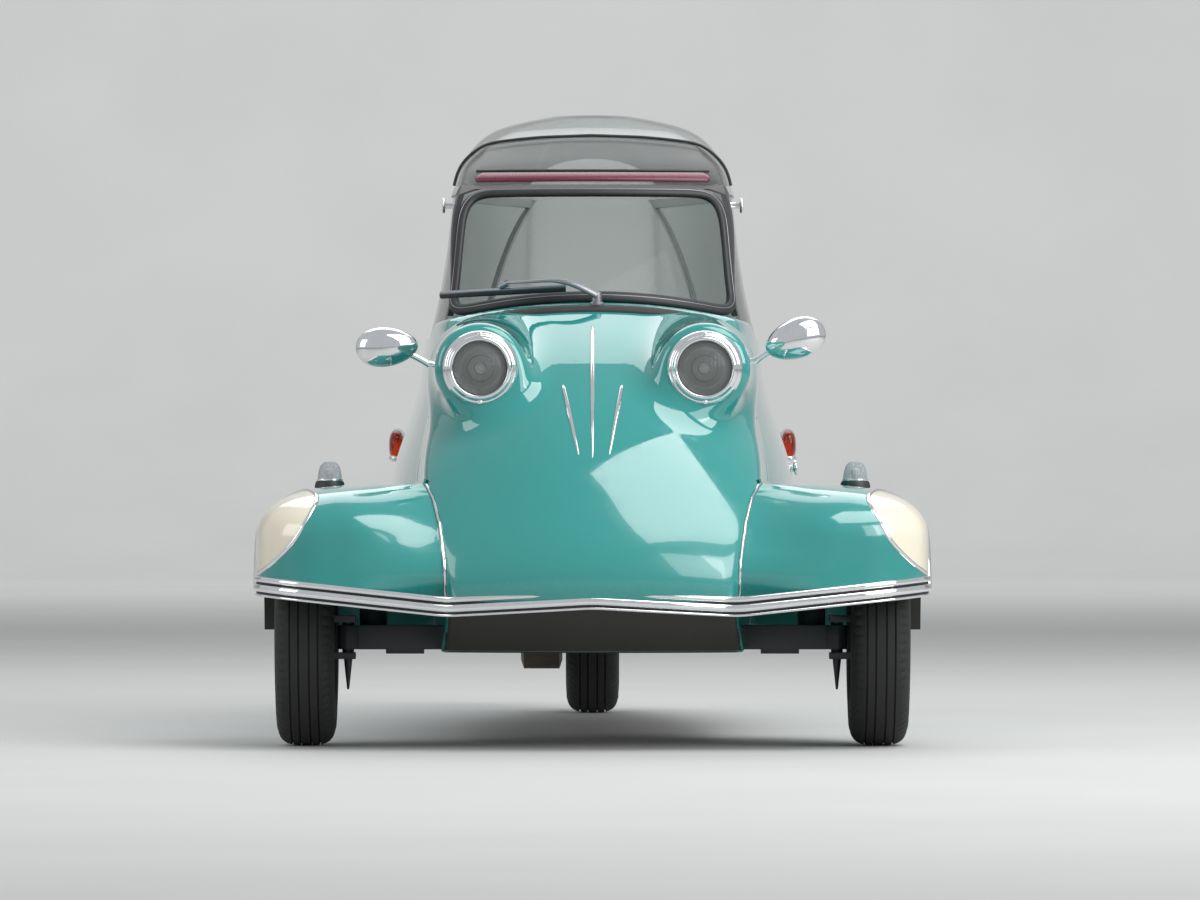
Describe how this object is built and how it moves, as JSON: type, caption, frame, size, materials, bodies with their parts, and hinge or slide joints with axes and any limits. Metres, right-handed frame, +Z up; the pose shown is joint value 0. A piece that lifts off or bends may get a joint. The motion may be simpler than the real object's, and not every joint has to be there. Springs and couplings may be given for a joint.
{
  "type": "bubble car",
  "caption": "Three-wheeled tandem bubble car with a side-hinged glazed canopy, steered front wheels under separate wings, an opening engine lid and a single rear wheel.",
  "frame": {"origin": "on the ground under the middle of the car's box", "axes": "+Z up, the car faces -Y, +X to its left side"},
  "size_m": [1.2414, 2.8207, 1.192],
  "materials": {
    "paint": "gloss turquoise paint",
    "wing_paint": "gloss turquoise paint with a cream flash on its outer front",
    "chrome": "bright plated trim",
    "rubber": "black moulded rubber",
    "tyre_rubber": "ribbed black tyre",
    "wheel_paint": "gloss cream wheel with a chrome cap",
    "screen": "clear glass",
    "plexi": "clear blown acrylic",
    "lamp_glass": "ribbed clear glass",
    "side_lens": "orange-red lens with a bright front",
    "tail_lens": "red lens in a bright ring",
    "mirror_shell": "plated mirror shell",
    "dark_steel": "satin black-blue chassis paint",
    "steel": "machined steel",
    "maroon_trim": "maroon trim",
    "maroon_vinyl": "grained maroon leathercloth, piped and fluted",
    "white_blind": "white sun blind cloth",
    "black_trim": "satin black trim",
    "engine_metal": "cast engine metal",
    "exhaust_metal": "heat-browned steel"
  },
  "bodies": {
    "body": {"nose_shell": "paint", "tub_shell": "paint", "tail_shell": "paint", "wing_left": "wing_paint", "wing_right": "wing_paint", "front_moulding": "chrome", "nose_spears": "chrome", "headlamp_rims": "chrome", "headlamp_lenses": "lamp_glass", "marker_lamp_bases": "rubber", "marker_lamp_lenses": "lamp_glass", "side_lamps": "side_lens", "tail_lamps": "tail_lens", "mirror_left": "mirror_shell", "mirror_right": "mirror_shell", "chassis_frame": "dark_steel", "front_arm_left": "dark_steel", "front_arm_right": "dark_steel", "swing_arm": "dark_steel", "exhaust": "exhaust_metal", "driver_seat": "maroon_vinyl", "rear_seat": "maroon_vinyl", "seat_mountings": "dark_steel", "dashboard": "maroon_trim", "engine_block": "engine_metal", "plate_bracket": "black_trim", "canopy_hinge_eyes": "steel", "lid_hinge_eye": "steel"},
    "canopy": {"canopy_frame": "paint", "windscreen_glass": "screen", "windscreen_seal": "rubber", "side_windows": "plexi", "window_frame": "black_trim", "dome": "plexi", "header_rail": "maroon_trim", "sun_blind": "white_blind", "dome_hoop": "black_trim", "window_knobs": "chrome", "canopy_handle": "chrome", "wiper": "black_trim", "canopy_hinge_lugs": "steel"},
    "engine_lid": {"engine_lid": "paint", "lid_hinge_lugs": "steel"},
    "knuckle_left": {"knuckle_left": "steel"},
    "knuckle_right": {"knuckle_right": "steel"},
    "steering": {"steering_bar": "dark_steel"},
    "wheel_front_left": {"tyre_front_left": "tyre_rubber", "rim_front_left": "wheel_paint"},
    "wheel_front_right": {"tyre_front_right": "tyre_rubber", "rim_front_right": "wheel_paint"},
    "wheel_rear": {"tyre_rear": "tyre_rubber", "rim_rear": "wheel_paint"}
  },
  "joints": [
    {"name": "canopy_hinge", "type": "hinge", "parent": "body", "child": "canopy", "pos_m": [-0.4, -0.23, 0.465], "axis": [0, -1, 0], "range_deg": [0, 80]},
    {"name": "engine_lid_hinge", "type": "hinge", "parent": "body", "child": "engine_lid", "pos_m": [0, 1.271, 0.616], "axis": [-1, 0, 0], "range_deg": [0, 60]},
    {"name": "steer_left", "type": "hinge", "parent": "body", "child": "knuckle_left", "pos_m": [0.45, -1, 0.199], "axis": [0, 0, 1], "range_deg": [-28, 28]},
    {"name": "steer_right", "type": "hinge", "parent": "body", "child": "knuckle_right", "pos_m": [-0.45, -1, 0.199], "axis": [0, 0, 1], "range_deg": [-28, 28]},
    {"name": "steering_bar_turn", "type": "hinge", "parent": "body", "child": "steering", "pos_m": [0, -0.8, 0.33], "axis": [0, 0.7167, 0.6974], "range_deg": [-34, 34]},
    {"name": "spin_front_left", "type": "hinge", "parent": "knuckle_left", "child": "wheel_front_left", "pos_m": [0.526, -1, 0.2075], "axis": [1, 0, 0], "continuous": true},
    {"name": "spin_front_right", "type": "hinge", "parent": "knuckle_right", "child": "wheel_front_right", "pos_m": [-0.526, -1, 0.2075], "axis": [1, 0, 0], "continuous": true},
    {"name": "spin_rear", "type": "hinge", "parent": "body", "child": "wheel_rear", "pos_m": [0, 1.03, 0.2075], "axis": [1, 0, 0], "continuous": true}
  ],
  "couplings": [
    {"joint": "steer_right", "follows": "steer_left", "ratio": 1},
    {"joint": "steering_bar_turn", "follows": "steer_left", "ratio": 1.2}
  ]
}
